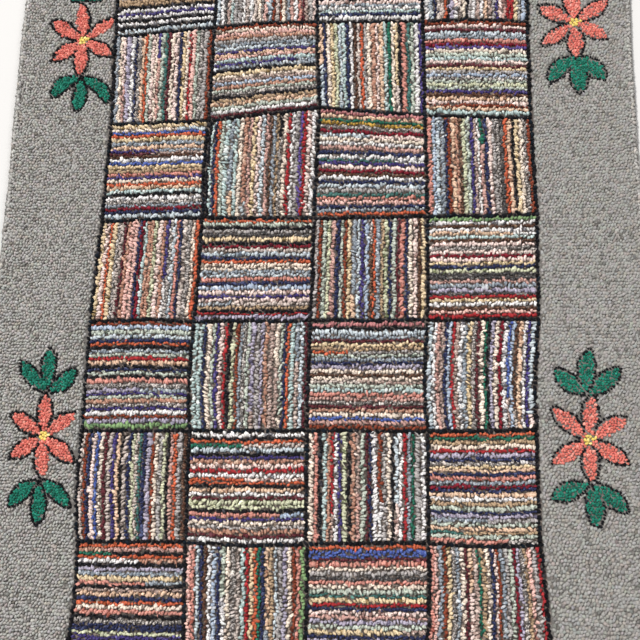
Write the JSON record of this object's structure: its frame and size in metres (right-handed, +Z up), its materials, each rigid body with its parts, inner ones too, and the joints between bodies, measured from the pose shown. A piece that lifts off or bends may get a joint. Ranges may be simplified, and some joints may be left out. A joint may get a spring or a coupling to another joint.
{
  "type": "hooked rug",
  "caption": "Flat rectangular hooked rug: striped square blocks outlined in black, in a grey border with flower sprigs.",
  "frame": {"origin": "centre of the bounding box, at the underside that lies on the floor", "axes": "+Z up through the pile, +Y along the rug's length, +X across its width"},
  "size_m": [0.914, 1.5234, 0.0095],
  "materials": {
    "burlap": "coarse plain-weave burlap",
    "hooked_loops": "matte hooked loops of cut cloth strips in mixed colours"
  },
  "bodies": {
    "root": {"foundation": "burlap", "pile": "hooked_loops"}
  },
  "joints": []
}
